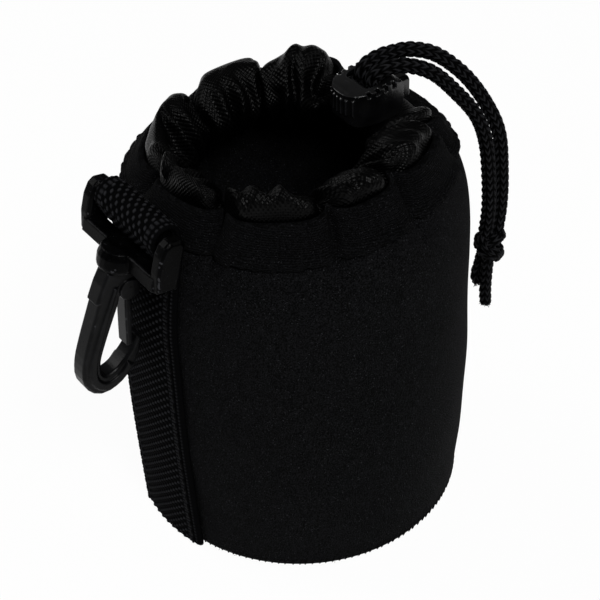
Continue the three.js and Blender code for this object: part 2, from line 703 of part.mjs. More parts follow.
// Swivel hook: heights here run down from the bar along the hook, outward from the bar
function hookFrame() {
  const wingMiddle = webbingWidth / 2 + wingPlay + wingThickness / 2;
  const bar = new THREE.CylinderGeometry(barRadius, barRadius, 2 * wingMiddle, 14);
  const wing = new THREE.Shape();
  wing.moveTo(wingFront * 0.45, wingRise);
  wing.lineTo(-wingBack * 0.4, wingRise);
  wing.lineTo(-wingBack, wingRise * 0.5);
  wing.lineTo(-wingBack * 0.8, -wingDrop);
  wing.lineTo(wingFront * 0.85, -wingDrop);
  wing.lineTo(wingFront, -wingDrop * 0.55);
  wing.lineTo(wingFront * 0.95, -wingDrop * 0.15);
  wing.lineTo(wingFront * 0.76, wingRise * 0.45);
  const wings = [-1, 1].map((side) => {
    return extrudeSide(wing, wingThickness, { bevel: wingThickness / 5 }).translate(0, side * wingMiddle, 0);
  });
  const crossbar = new THREE.Shape();
  crossbar.moveTo(crossbarFront, -crossbarDrop - barPlay);
  crossbar.lineTo(crossbarFront - barPlay, -crossbarDrop);
  crossbar.lineTo(crossbarBack, -crossbarDrop);
  crossbar.lineTo(crossbarBack, -wingDrop);
  crossbar.lineTo(crossbarFront, -wingDrop);
  const dome = bossRadius * 0.35;
  const boss = turn(
    [
      [0, -bossBottom],
      [bossRadius * 0.92, -bossBottom],
      [bossRadius, -bossBottom + dome / 2],
      [bossRadius, -bossTop - 1.6 * dome],
      [bossRadius * 0.86, -bossTop - 0.6 * dome],
      [bossRadius * 0.5, -bossTop - 0.1 * dome],
      [0, -bossTop],
    ],
    20,
  ).translate(-swivelOffset, 0, 0);
  const socket = turn(
    [
      [0, -bossBottom - gap],
      [neckRadius + gap, -bossBottom - gap],
      [neckRadius + gap, -stemHeadBottom - gap],
      [stemHeadRadius + gap, -stemHeadBottom - gap],
      [stemHeadRadius + gap, -stemHeadTop],
      [stemHeadRadius * 0.6, -stemHeadTop + gap],
      [0, -stemHeadTop + gap],
    ],
    16,
  ).translate(-swivelOffset, 0, 0);
  const back = new THREE.BoxGeometry(2 * bossRadius, 4 * bossRadius, 4 * bossRadius);
  back.translate(bossRadius - crossbarBack, 0, -bossBottom);
  const head = solidOf(boss).add(solidOf(extrudeSide(crossbar, 2 * wingMiddle))).subtract(solidOf(back));
  return geometryOf(join([bar, ...wings]).add(head).subtract(solidOf(socket)));
}

function hookBody() {
  const shaped = (rows) => rows.map(([out, down, half]) => [
    out * hookBow,
    hookTop - down * hookDepth,
    (half ?? 0) * hookBand,
  ]);
  const spine = shaped([
    [0.3, 0.128, 1.12],
    [0.47, 0.256, 1.12],
    [0.65, 0.401, 1.06],
    [0.88, 0.605, 1],
    [1, 0.779, 0.96],
    [0.815, 0.924, 1],
    [0.2, 1, 1.02],
    [-0.556, 0.953, 0.93],
    [-1.056, 0.849, 0.74],
    [-1.352, 0.738, 0.52],
    [-1.463, 0.634, 0.33],
  ]);
  const shoulders = shaped([
    [-0.74, 0],
    [0.74, 0],
    [0.963, 0.105],
    [1.167, 0.256],
    [0.185, 0.273],
    [-0.333, 0.203],
    [-0.796, 0.116],
    [-0.852, 0.052],
  ]);
  const head = new THREE.Shape(shoulders.map(([x, y]) => new THREE.Vector2(x, y)));
  const ridge = spine.slice(0, -2).map(([x, y], i, all) => {
    return [x, y, hookBand * lerp(0.19, 0.41, Math.min(1, (2 * i) / all.length))];
  });
  const plate = extrudeSide(ribbon(spine), hookThickness, { bevel: hookEdge });
  const rib = extrudeSide(ribbon(ridge), hookThickness + 2 * hookRib, { bevel: ribEdge });
  const stem = turn(
    [
      [0, hookTop - neckRadius],
      [neckRadius, hookTop - neckRadius],
      [neckRadius, -stemHeadBottom],
      [stemHeadRadius, -stemHeadBottom],
      [stemHeadRadius, -stemHeadTop - gap],
      [stemHeadRadius * 0.6, -stemHeadTop],
      [0, -stemHeadTop],
    ],
    14,
  );
  const seat = new THREE.CylinderGeometry(gateRoot + gap, gateRoot + gap, gateWidth + 2 * gap, 14);
  seat.translate(-gateRootAt.x, 0, gateRootAt.y);
  const mouth = new THREE.BoxGeometry(4.8 * gateRoot, gateWidth + 2 * gap, 4 * gateRoot);
  mouth.translate(-gateRootAt.x + 0.6 * gateRoot, 0, gateRootAt.y - 2 * gateRoot);
  const ear = new THREE.CylinderGeometry(
    gateRoot + gap + gateCheek,
    gateRoot + gap + gateCheek,
    hookThickness + 2 * hookRib,
    18,
  );
  ear.translate(-gateRootAt.x, 0, gateRootAt.y);
  const joined = join([plate, extrudeSide(head, hookThickness, { bevel: hookEdge }), rib, stem, ear]);
  return geometryOf(joined.subtract(solidOf(seat)).subtract(solidOf(mouth)));
}

function hookGate() {
  const root = new THREE.CylinderGeometry(gateRoot, gateRoot, gateWidth, 12);
  root.translate(-gateRootAt.x, 0, gateRootAt.y);
  const half = gateThickness / 2;
  const middle = gateRootAt.clone().lerp(gateEndAt, 0.5);
  const leaf = ribbon([
    [gateRootAt.x, gateRootAt.y, half],
    [middle.x, middle.y, half],
    [gateEndAt.x, gateEndAt.y, half * 0.8],
  ]);
  return geometryOf(join([root, extrudeSide(leaf, gateWidth, { bevel: ribEdge })]));
}

// The assembly
addMesh("base_panel", basePanel(), materials.neoprene);
addMesh("wall_panel", wallPanel(), materials.neoprene);
addMesh("collar_band", collarBand(), materials.neoprene);
addMesh("mouth_casing", mouthCasing(), materials.nylon);
addMesh("drawcord_run", drawcordRun(), materials.cord);
addMesh("drawcord_strand_upper", cordTube(upperRoute, 34), materials.cord);
addMesh("drawcord_strand_lower", cordTube(lowerRoute, 32), materials.cord);
addMesh("drawcord_knot", drawcordKnot(), materials.cord);
addMesh("drawcord_tail_long", drawcordTail(longTail, 1), materials.cord);
addMesh("drawcord_tail_short", drawcordTail(shortTail, -1), materials.cord);
addMesh("lock_body", lockBody(), materials.plastic);
addMesh("lock_plunger", lockPlunger(), materials.plastic);
addMesh("lock_spring", lockSpring(), materials.steel);
addMesh("webbing_strap", webbingStrap(), materials.webbing);

const hook = new THREE.Group();
hook.position.set(-barReach, 0, barHeight);
hook.rotation.y = hookLean;
pouch.add(hook);
addMesh("hook_frame", hookFrame(), materials.plastic, hook);

const swivel = new THREE.Group();
swivel.position.x = -swivelOffset;
hook.add(swivel);
addMesh("hook_body", hookBody(), materials.plastic, swivel);
addMesh("hook_gate", hookGate(), materials.plastic, swivel);

export default pouch;
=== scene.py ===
"""A drawstring lens pouch: black neoprene, a gathered nylon mouth, a cord lock, and a hook on webbing.

The pieces are modelled in millimetres, in the frame of the solids, and brought to metres as they are
finished.
"""

import math
import random

import bmesh
import bpy
import numpy as np
from mathutils import Matrix, Quaternion, Vector


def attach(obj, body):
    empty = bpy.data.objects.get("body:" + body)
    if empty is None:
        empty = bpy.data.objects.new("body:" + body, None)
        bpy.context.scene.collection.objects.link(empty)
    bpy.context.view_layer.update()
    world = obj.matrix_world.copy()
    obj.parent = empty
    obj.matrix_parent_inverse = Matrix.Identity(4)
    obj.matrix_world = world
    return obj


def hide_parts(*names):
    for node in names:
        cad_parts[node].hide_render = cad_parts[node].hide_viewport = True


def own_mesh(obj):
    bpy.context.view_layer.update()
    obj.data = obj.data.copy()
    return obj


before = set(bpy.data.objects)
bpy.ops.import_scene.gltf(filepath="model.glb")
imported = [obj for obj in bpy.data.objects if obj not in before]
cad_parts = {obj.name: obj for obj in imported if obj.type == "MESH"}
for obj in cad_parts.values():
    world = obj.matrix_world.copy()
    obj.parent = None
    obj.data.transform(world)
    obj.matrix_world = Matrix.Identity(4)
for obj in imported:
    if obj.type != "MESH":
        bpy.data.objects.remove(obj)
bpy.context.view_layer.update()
scene = bpy.context.scene
mm = 0.001
chance = random.Random(41)

# Neoprene body
neoprene = 5.0
body_radius = 45.0
base_radius = 42.6
base_edge = 1.4
swell_height = 49.95
shoulder_start = 84.0
shoulder_draw = 8.0
collar_bottom = 102.0
collar_top = 111.0
wall_top = 103.4
collar_thickness = 2.2
collar_proud = 0.4
mouth_sag = 5.0
sag_angle = math.radians(115)
mouth_lift = 3.5
lift_angle = math.radians(290)
lean_x = 0.88
lean_y = -0.66
lean_floor = 15.0
lean_top = 92.0
crease_start = 93.0
crease_depth = 2.4
crease_spread = math.radians(5.2)
pleat_depth = 2.5
pleat_spread = math.radians(1.5)
rim_drop = 2.6
crease_angles = np.radians([29, 62, 101, 160, 205, 249, 280, 320])

# Nylon mouth
cloth = 0.5
mouth_radius = 21.8
channel_floor = 98.2
crown_radius = 32.8
valley_floor = 104.6
valley_keep = 0.2
valley_flat = math.radians(17)
valley_edge = math.radians(34)

# Drawcord and its lock
cord_diameter = 4.0
cord_spacing = 2.15
lock_x = 24.5
lock_top = 116.84
lock_middle = 111.59
lock_nose = 9.6
lock_half_width = 6.6
hang_reach = 57.5
knot_length = 10.0
knot_drop = 0.3
knot_fall = 13.81
knot_x = 55.5
knot_y = -14.3
knot_across = 2.7
knot_front = 2.4
knot_turn = math.radians(-36)
tail_diameter = 3.4
fray_count = 30
cord_step = 0.27
cord_core = 0.76
stitch_rise = 0.26

# Webbing
webbing_width = 25.0
webbing = 1.8
webbing_foot = 0.8
strap_dent = 1.5
dent_flat = math.radians(18)
dent_edge = math.radians(38)
dent_start = 74.0
dent_full = 96.0
bar_reach = 45.0
bar_height = 106.5
bar_loop = 3.4
fold_join = 98.4
fold_end = 92.5
seed_width = 1.2
seed_pitch = 2.35
rung_pitch = 1.2
ladder_start = 3.3
ladder_end = 3.6
groove_inset = 1.6
groove_width = 0.35

# Seams
base_stitches = 150
under_stitches = 120
fuzz_count = 160
strap_half_angle = 0.29


# Camera

def set_camera():
    azimuth = math.radians(-36.5)
    elevation = math.radians(40.9)
    distance = 530 * mm
    aim_height = 60 * mm
    aim_right = 1.82
    aim_down = 3.05
    right = Vector((math.cos(azimuth), math.sin(azimuth), 0))
    back = Vector((
        math.sin(azimuth) * math.cos(elevation),
        -math.cos(azimuth) * math.cos(elevation),
        math.sin(elevation),
    ))
    up = back.cross(right)
    aim = Vector((0, 0, aim_height)) + right * aim_right * mm - up * aim_down * mm
    data = bpy.data.cameras.new("camera")
    data.lens = 122.2
    data.sensor_width = 36
    camera = bpy.data.objects.new("camera", data)
    camera.location = aim + back * distance
    camera.rotation_mode = "QUATERNION"
    roll = Quaternion((0, 0, 1), math.radians(-1.1))
    camera.rotation_quaternion = (-back).to_track_quat("-Z", "Y") @ roll
    scene.collection.objects.link(camera)
    scene.camera = camera


# Shaping helpers

def smoothstep(value, low, high):
    share = np.clip((value - low) / (high - low), 0, 1)
    return share * share * (3 - 2 * share)


def turns_apart(angle, other):
    apart = np.abs(angle - other) % (2 * np.pi)
    return np.minimum(apart, 2 * np.pi - apart)


def points_of(mesh):
    flat = np.empty(3 * len(mesh.vertices))
    mesh.vertices.foreach_get("co", flat)
    return flat.reshape(-1, 3)


def place_points(mesh, points):
    mesh.vertices.foreach_set("co", np.asarray(points, float).ravel())
    mesh.update()


def mesh_from(name, shape):
    mesh = bpy.data.meshes.new(name)
    shape.to_mesh(mesh)
    shape.free()
    return mesh


def piece(name, mesh, material, body="pouch", stands_for=()):
    mesh.transform(Matrix.Scale(mm, 4))
    mesh.polygons.foreach_set("use_smooth", [True] * len(mesh.polygons))
    mesh.materials.append(material)
    made = bpy.data.objects.new(name, mesh)
    scene.collection.objects.link(made)
    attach(made, body)
    if stands_for:
        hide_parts(*stands_for)
    return made


def spun(name, profile, steps, closed=True):
    shape = bmesh.new()
    verts = [shape.verts.new((radius, 0, height)) for radius, height in profile]
    edges = [shape.edges.new(pair) for pair in zip(verts, verts[1:])]
    if closed:
        edges.append(shape.edges.new((verts[-1], verts[0])))
    bmesh.ops.spin(
        shape, geom=verts + edges, cent=(0, 0, 0), axis=(0, 0, 1),
        angle=2 * math.pi, steps=steps, use_merge=True,
    )
    bmesh.ops.remove_doubles(shape, verts=shape.verts, dist=0.001)
    bmesh.ops.recalc_face_normals(shape, faces=shape.faces)
    return mesh_from(name, shape)


def laid(name, columns, rows, place):
    """A grid laid by place(across, along), both from 0 to 1, which gives points and their relief."""
    shape = bmesh.new()
    shape.loops.layers.uv.new("UVMap")
    bmesh.ops.create_grid(shape, x_segments=columns, y_segments=rows, size=0.5, calc_uvs=True)
    mesh = mesh_from(name, shape)
    grid = points_of(mesh)
    points, relief = place(grid[:, 0] + 0.5, grid[:, 1] + 0.5)
    place_points(mesh, points)
    mesh.attributes.new("relief", "FLOAT", "POINT").data.foreach_set("value", relief)
    shape = bmesh.new()
    shape.from_mesh(mesh)
    bpy.data.meshes.remove(mesh)
    bmesh.ops.remove_doubles(shape, verts=shape.verts, dist=0.001)
    bmesh.ops.dissolve_degenerate(shape, edges=shape.edges, dist=0.0005)
    bmesh.ops.recalc_face_normals(shape, faces=shape.faces)
    return mesh_from(name, shape)


def joined(name, meshes):
    shape = bmesh.new()
    for mesh in meshes:
        shape.from_mesh(mesh)
        bpy.data.meshes.remove(mesh)
    return mesh_from(name, shape)


def even_line(points, spacing):
    """A smooth line through the points, its own points evenly spaced."""
    points = np.array(points, float)
    ends = np.vstack([2 * points[0] - points[1], points, 2 * points[-1] - points[-2]])
    share = np.linspace(0, 1, 40, endpoint=False)[:, None]
    fine = []
    for before, start, end, after in zip(ends, ends[1:], ends[2:], ends[3:]):
        turn = 2 * before - 5 * start + 4 * end - after
        twist = 3 * start - before - 3 * end + after
        fine.append(start + 0.5 * ((end - before) * share + turn * share ** 2 + twist * share ** 3))
    fine = np.vstack([*fine, points[-1:]])
    distance = np.concatenate([[0], np.cumsum(np.linalg.norm(np.diff(fine, axis=0), axis=1))])
    count = max(3, round(distance[-1] / spacing) + 1)
    at = np.linspace(0, distance[-1], count)
    return np.column_stack([np.interp(at, distance, column) for column in fine.T])


def length_of(line):
    return float(np.linalg.norm(np.diff(line, axis=0), axis=1).sum())


def frames_along(line):
    along = np.gradient(line, axis=0)
    along /= np.linalg.norm(along, axis=1)[:, None]
    side = np.cross(along[0], (0.31, 0.9, 0.27))
    sides = []
    for direction in along:
        side = side - direction * side.dot(direction)
        side /= np.linalg.norm(side)
        sides.append(side)
    sides = np.array(sides)
    return sides, np.cross(along, sides)


def outward(frames, ring, turn):
    side, other = frames
    return np.cos(turn)[:, None] * side[ring] + np.sin(turn)[:, None] * other[ring]


# Shape of the sewn body: its plain radius, then what the gathers, the strap and the lock do to it

def wall_radius(height):
    swell = np.sin(np.pi / 2 * np.clip(height / swell_height, 0, 1))
    up = np.clip((height - shoulder_start) / (collar_top - shoulder_start), 0, 1)
    drawn_in = 1 - np.cos(np.pi / 2 * up)
    return base_radius + (body_radius - base_radius) * swell - shoulder_draw * drawn_in


def dent_depth(height):
    return strap_dent * smoothstep(height, dent_start, dent_full)


def slumped(angle, height):
    low = ((1 + np.cos(angle - sag_angle)) / 2) ** 2.5
    high = ((1 + np.cos(angle - lift_angle)) / 2) ** 8
    moved = mouth_lift * high - mouth_sag * low
    return height + moved * smoothstep(height, shoulder_start, channel_floor - 0.9)


def slack_at(angle):
    return ((1 + np.cos(angle - sag_angle)) / 2) ** 1.2


def creases_at(angle, spread=crease_spread):
    return sum(np.exp(-((turns_apart(angle, crease) / spread) ** 2)) for crease in crease_angles)


def pressed_at(angle):
    return 1 - smoothstep(turns_apart(angle, 0), valley_flat, valley_edge)


def gathered(angle, radius, height):
    reach = smoothstep(radius, mouth_radius, crown_radius)
    folded = crease_depth * creases_at(angle) + pleat_depth * creases_at(angle, pleat_spread)
    drawn = folded * reach * smoothstep(height, crease_start, collar_top)
    by_strap = 1 - smoothstep(turns_apart(angle, np.pi), dent_flat, dent_edge)
    dent = dent_depth(height) * by_strap * reach
    above = np.maximum(0, height - valley_floor)
    settled = height - above * pressed_at(angle) * (1 - valley_keep)
    return radius - drawn - dent, slumped(angle, settled)


def round_points(angle, radius, height):
    return np.column_stack([radius * np.cos(angle), radius * np.sin(angle), height])


def gather_mesh(mesh, ripple):
    points = points_of(mesh)
    angle = np.arctan2(points[:, 1], points[:, 0])
    radius = np.hypot(points[:, 0], points[:, 1])
    radius, height = gathered(angle, radius, points[:, 2])
    radius, height = ripple(angle, radius, height)
    place_points(mesh, round_points(angle, radius, height))


def leaning(mesh):
    """The soft body stands a little to one side of its mouth."""
    points = points_of(mesh)
    share = 1 - smoothstep(points[:, 2], lean_floor, lean_top)
    points[:, 0] += lean_x * share
    points[:, 1] += lean_y * share
    place_points(mesh, points)
    return mesh


# Shader helpers

def feed(tree, node, inputs):
    for socket, value in inputs.items():
        if isinstance(value, bpy.types.NodeSocket):
            tree.links.new(value, node.inputs[socket])
        else:
            node.inputs[socket].default_value = value


def put(tree, kind, inputs=None, **settings):
    made = tree.nodes.new(kind)
    for name, value in settings.items():
        setattr(made, name, value)
    feed(tree, made, inputs or {})
    return made


def worked(tree, operation, first, second=0.0, third=0.0):
    return put(tree, "ShaderNodeMath", {0: first, 1: second, 2: third}, operation=operation).outputs[0]


def times(tree, first, *others):
    for other in others:
        first = worked(tree, "MULTIPLY", first, other)
    return first


def ramp(tree, value, low, high):
    made = put(tree, "ShaderNodeMapRange", {"Value": value, "From Min": low, "From Max": high})
    made.interpolation_type = "SMOOTHSTEP"
    return made.outputs["Result"]


def mixed(tree, share, first, second):
    """Two colours mixed: sockets 6 and 7 are the mix node's colours, and output 2 its colour."""
    made = put(tree, "ShaderNodeMix", data_type="RGBA")
    feed(tree, made, {0: share, 6: first, 7: second})
    return made.outputs[2]


def speckle(tree, place, scale, detail=2.0, rough=0.5):
    inputs = {"Vector": place, "Scale": scale, "Detail": detail, "Roughness": rough}
    return put(tree, "ShaderNodeTexNoise", inputs).outputs["Fac"]


def new_group(name, inputs, outputs):
    tree = bpy.data.node_groups.new(name, "ShaderNodeTree")
    for title, kind in inputs:
        tree.interface.new_socket(title, in_out="INPUT", socket_type=kind)
    for title, kind in outputs:
        tree.interface.new_socket(title, in_out="OUTPUT", socket_type=kind)
    return tree, tree.nodes.new("NodeGroupInput").outputs, tree.nodes.new("NodeGroupOutput").inputs


def use_group(tree, group, inputs):
    made = tree.nodes.new("ShaderNodeGroup")
    made.node_tree = group
    feed(tree, made, inputs)
    return made.outputs


def grey(value, blue=1.12):
    return (value, value * 1.02, value * blue, 1)


def knit_group():
    """Fine knitted face: rows up the body that waver, uneven yarn, and a few light flecks."""
    tree, given, out = new_group(
        "knit_face",
        [("Place", "NodeSocketVector"), ("Rows per m", "NodeSocketFloat"), ("Row share", "NodeSocketFloat")],
        [("Height", "NodeSocketFloat"), ("Yarn", "NodeSocketFloat"), ("Fleck", "NodeSocketFloat")],
    )
    place = put(tree, "ShaderNodeSeparateXYZ", {0: given["Place"]}).outputs
    waver = speckle(tree, given["Place"], 90)
    up = worked(tree, "MULTIPLY_ADD", waver, 0.0008, place["Z"])
    turns = times(tree, up, given["Rows per m"], 2 * math.pi)
    rows = times(tree, worked(tree, "SINE", turns), given["Row share"])
    yarn = speckle(tree, given["Place"], 2700, 2.0, 0.6)
    coarse = speckle(tree, given["Place"], 380, 2.0)
    tree.links.new(worked(tree, "MULTIPLY_ADD", yarn, 1.6, rows), out["Height"])
    mottled = worked(tree, "MULTIPLY_ADD", coarse, 0.12, times(tree, yarn, 0.88))
    # The rows also paint the colour lighter on each row's crest and darker between rows: painted shade; the
    # mottling is the yarn's own uneven tone.
    tree.links.new(worked(tree, "MULTIPLY_ADD", rows, 0.2, mottled), out["Yarn"])
    tree.links.new(ramp(tree, speckle(tree, given["Place"], 2600, 1.0), 0.68, 0.76), out["Fleck"])
    return tree


def weave_group():
    """Plain weave on a cloth's own map: threads over and under, each a little different, painted lighter
    where a thread rises and darker where it dips.
    """
    tree, given, out = new_group(
        "plain_weave",
        [
            ("Map", "NodeSocketVector"),
            ("Threads round", "NodeSocketFloat"),
            ("Threads up", "NodeSocketFloat"),
        ],
        [("Height", "NodeSocketFloat"), ("Thread light and tone", "NodeSocketFloat")],
    )
    place = put(tree, "ShaderNodeSeparateXYZ", {0: given["Map"]}).outputs
    across = times(tree, place["X"], given["Threads round"], math.pi)
    along = times(tree, place["Y"], given["Threads up"], math.pi)
    over = times(tree, worked(tree, "SINE", across), worked(tree, "SINE", along))
    counted = put(tree, "ShaderNodeCombineXYZ", {"X": across, "Y": along}).outputs[0]
    uneven = speckle(tree, counted, 0.35, 2.0)
    tree.links.new(worked(tree, "MULTIPLY_ADD", over, 0.5, 0.5), out["Height"])
    # Painted highlight on the rising threads and painted shade in the dips, times each thread's own uneven
    # tone.
    tree.links.new(times(tree, ramp(tree, over, -0.2, 0.9), uneven), out["Thread light and tone"])
    return tree


def yarn_group():
    """Yarn of a cord, webbing or stitch: painted shade between its threads and painted light on the yarn's
    crests, and fine filaments along them.
    """
    tree, given, out = new_group(
        "yarn_shade",
        [("Place", "NodeSocketVector"), ("Relief", "NodeSocketFloat"), ("Filaments", "NodeSocketFloat")],
        [("Height", "NodeSocketFloat"), ("Relief light and filaments", "NodeSocketFloat")],
    )
    filament = speckle(tree, given["Place"], given["Filaments"], 3.0, 0.65)
    tree.links.new(filament, out["Height"])
    # Colour lighter on the yarn's crests and darker in the grooves between threads: painted shade from the
    # relief.
    relief_light = ramp(tree, given["Relief"], 0.25, 1.0)
    threads = worked(tree, "MULTIPLY_ADD", filament, 1.2, 0.1)
    tree.links.new(times(tree, relief_light, threads), out["Relief light and filaments"])
    return tree


def moulding_group():
    """Moulded plastic: fine satin grain, scuffs, and lighter edges that are partly wear and partly a painted
    rim highlight.
    """
    tree, given, out = new_group(
        "moulding_wear_and_rim_light",
        [("Place", "NodeSocketVector"), ("Edge", "NodeSocketFloat"), ("Scuffs", "NodeSocketFloat")],
        [("Height", "NodeSocketFloat"), ("Wear and rim light", "NodeSocketFloat"), ("Cloud", "NodeSocketFloat")],
    )
    grain = speckle(tree, given["Place"], 3200, 2.0, 0.6)
    cloud = speckle(tree, given["Place"], 190, 4.0, 0.6)
    stretched = put(tree, "ShaderNodeMapping", {
        "Vector": given["Place"],
        "Rotation": (0.5, 0.7, 0.3),
        "Scale": (1, 0.12, 1),
    }).outputs[0]
    scratch = ramp(tree, speckle(tree, stretched, 2600, 2.0), 0.66, 0.74)
    # Convex edges lightened: partly wear from rubbing, partly a painted rim highlight.
    rim_light_and_rubbing = times(tree, ramp(tree, given["Edge"], 0.508, 0.55), ramp(tree, cloud, 0.35, 0.62))
    scuffed = times(tree, scratch, given["Scuffs"], ramp(tree, cloud, 0.4, 0.7))
    tree.links.new(grain, out["Height"])
    tree.links.new(worked(tree, "MAXIMUM", rim_light_and_rubbing, scuffed), out["Wear and rim light"])
    tree.links.new(cloud, out["Cloud"])
    return tree


def new_material(name, roughness, specular):
    material = bpy.data.materials.new(name)
    material.use_nodes = True
    tree = material.node_tree
    surface = tree.nodes["Principled BSDF"]
    surface.inputs["Roughness"].default_value = roughness
    surface.inputs["Specular IOR Level"].default_value = specular
    return material, tree, surface.inputs


def object_place(tree):
    return put(tree, "ShaderNodeTexCoord").outputs["Object"]


def raise_surface(tree, surface, height, distance, strength=1.0):
    bump = put(tree, "ShaderNodeBump", {"Height": height, "Distance": distance * mm, "Strength": strength})
    tree.links.new(bump.outputs[0], surface["Normal"])


def neoprene_finish(name, rows, row_share, dark, light, depth):
    material, tree, surface = new_material(name, 0.9, 0.03)
    place = object_place(tree)
    face = use_group(tree, knit, {"Place": place, "Rows per m": rows, "Row share": row_share})
    colour = mixed(tree, ramp(tree, face["Yarn"], 0.42, 0.60), grey(dark), grey(light))
    tree.links.new(mixed(tree, face["Fleck"], colour, grey(light * 6)), surface["Base Color"])
    raise_surface(tree, surface, face["Height"], depth)
    return material


def nylon_finish():
    material, tree, surface = new_material("mouth_nylon", 0.3, 0.065)
    sewn = put(tree, "ShaderNodeUVMap", uv_map="UVMap").outputs[0]
    face = use_group(tree, weave, {"Map": sewn, "Threads round": 400.0, "Threads up": 78.0})
    # Thread crossings painted light and the dips dark: painted highlight and shade on the nylon's own uneven
    # thread tone.
    tree.links.new(mixed(tree, face["Thread light and tone"], grey(0.0001), grey(0.0022)), surface["Base Color"])
    tree.links.new(worked(tree, "MULTIPLY_ADD", face["Thread light and tone"], -0.16, 0.38), surface["Roughness"])
    raise_surface(tree, surface, face["Height"], 0.16, 0.9)
    return material


def yarn_finish(name, dark, light, filaments, roughness, specular, depth):
    material, tree, surface = new_material(name, roughness, specular)
    place = object_place(tree)
    relief = put(tree, "ShaderNodeAttribute", attribute_name="relief").outputs["Fac"]
    face = use_group(tree, yarn, {"Place": place, "Relief": relief, "Filaments": filaments})
    # The yarn runs from its dark to its light grey by painted shade from the relief, times the filaments'
    # own tone.
    tree.links.new(mixed(tree, face["Relief light and filaments"], grey(dark), grey(light)), surface["Base Color"])
    raise_surface(tree, surface, face["Height"], depth)
    return material


def plastic_finish(name, dark, light, worn_and_rim_lit, scuffs, roughness, specular):
    material, tree, surface = new_material(name, roughness, specular)
    place = object_place(tree)
    edge = put(tree, "ShaderNodeNewGeometry").outputs["Pointiness"]
    face = use_group(tree, moulding, {"Place": place, "Edge": edge, "Scuffs": scuffs})
    colour = mixed(tree, ramp(tree, face["Cloud"], 0.3, 0.7), grey(dark), grey(light))
    # The lighter edge colour is partly wear and partly a painted rim highlight; the scuffs are wear.
    tree.links.new(mixed(tree, face["Wear and rim light"], colour, grey(worn_and_rim_lit)), surface["Base Color"])
    rough = worked(tree, "MULTIPLY_ADD", face["Cloud"], 0.2, roughness - 0.1)
    tree.links.new(rough, surface["Roughness"])
    raise_surface(tree, surface, face["Height"], 0.03)
    return material


def steel_finish():
    material, tree, surface = new_material("spring_steel", 0.3, 0.5)
    surface["Metallic"].default_value = 1
    drawn = speckle(tree, object_place(tree), 900, 3.0)
    tree.links.new(mixed(tree, drawn, grey(0.32), grey(0.55)), surface["Base Color"])
    tree.links.new(worked(tree, "MULTIPLY_ADD", drawn, 0.2, 0.2), surface["Roughness"])
    return material


knit = knit_group()
weave = weave_group()
yarn = yarn_group()
moulding = moulding_group()
wall_cloth = neoprene_finish(
    "wall_neoprene", rows=2000.0, row_share=0.05, dark=0.0010, light=0.0068, depth=0.24,
)
collar_cloth = neoprene_finish(
    "collar_neoprene", rows=2000.0, row_share=0.3, dark=0.0008, light=0.0044, depth=0.2,
)
mouth_nylon = nylon_finish()
cord_yarn = yarn_finish(
    "cord_yarn", dark=0.0005, light=0.0200, filaments=2400.0, roughness=0.45, specular=0.012, depth=0.05,
)
strap_yarn = yarn_finish(
    "strap_yarn", dark=0.0018, light=0.0290, filaments=2600.0, roughness=0.5, specular=0.002, depth=0.05,
)
thread_yarn = yarn_finish(
    "sewing_thread", dark=0.0004, light=0.0026, filaments=3000.0, roughness=0.6, specular=0.03, depth=0.03,
)
hook_plastic = plastic_finish(
    "hook_plastic", dark=0.0022, light=0.0046, worn_and_rim_lit=0.026, scuffs=0.7, roughness=0.3, specular=0.07,
)
frame_plastic = plastic_finish(
    "frame_plastic", dark=0.0004, light=0.0014, worn_and_rim_lit=0.032, scuffs=0.9, roughness=0.28, specular=0.025,
)
lock_plastic = plastic_finish(
    "lock_plastic", dark=0.0014, light=0.0036, worn_and_rim_lit=0.022, scuffs=0.4, roughness=0.24, specular=0.5,
)
spring_steel = steel_finish()


# Drawcord

def stitch_relief(across, distance, wales=6, pitch=2.3):
    """Columns of knitted stitches, each two slanting legs that meet in the column's middle."""
    aside = np.abs((across * wales) % 1 - 0.5) * 2
    leg = 0.5 + 0.5 * np.cos(2 * np.pi * (distance / pitch + 0.75 * aside))
    between = 1 - aside ** 5
    return leg ** 0.8 * between


def cord_tube(name, line, diameter=cord_diameter, sides=48, end_round=0.5):
    rings = len(line) - 1
    frames = frames_along(line)
    length = length_of(line)

    def place(across, along):
        ring = np.rint(along * rings).astype(int)
        distance = along * length
        # The stitch relief shapes the cord and also darkens its colour between the stitches: painted shade.
        relief = stitch_relief(across, distance)
        from_end = np.clip(np.minimum(distance, length - distance) / end_round, 0, 1)
        reach = diameter / 2 * (cord_core + stitch_rise * relief) * np.sqrt(1 - (1 - from_end) ** 2)
        return line[ring] + reach[:, None] * outward(frames, ring, 2 * np.pi * across), relief

    return laid(name, sides, rings, place)


def strand_line(side, rows):
    start = [[lock_x, side * cord_spacing, lock_top - 2], [lock_x, side * cord_spacing, lock_top + 0.2]]
    rest = [
        [lock_x + (hang_reach - lock_x) * share, aside * cord_diameter, lock_top + rise * cord_diameter]
        for share, aside, rise in rows
    ]
    return even_line(start + rest, cord_step)


upper_line = strand_line(1, [
    (0.05, 0.5, 0.4), (0.13, 0.3, 0.68), (0.22, 0.05, 0.8), (0.365, -0.6, 0.9), (0.535, -1.45, 0.32),
    (0.725, -2.4, -1.42), (0.885, -3.15, -3.9), (0.97, -3.6, -6.21), (1, -3.78, -9.46),
    (1.005, -3.8, -11.96), (0.99, -3.7, -14.2),
])
lower_line = strand_line(-1, [
    (0.04, -0.7, 0.4), (0.11, -1, 0.64), (0.25, -1.52, 0.55), (0.427, -2.15, -0.3), (0.6, -2.75, -2.05),
    (0.75, -3.3, -4.01), (0.83, -3.6, -6.21), (0.86, -3.8, -8.84), (0.875, -3.85, -11.71),
    (0.88, -3.6, -14.2),
])
knot_top = lock_top - knot_fall * cord_diameter - knot_drop
knot_at = np.array([knot_x, knot_y, knot_top - knot_length / 2])


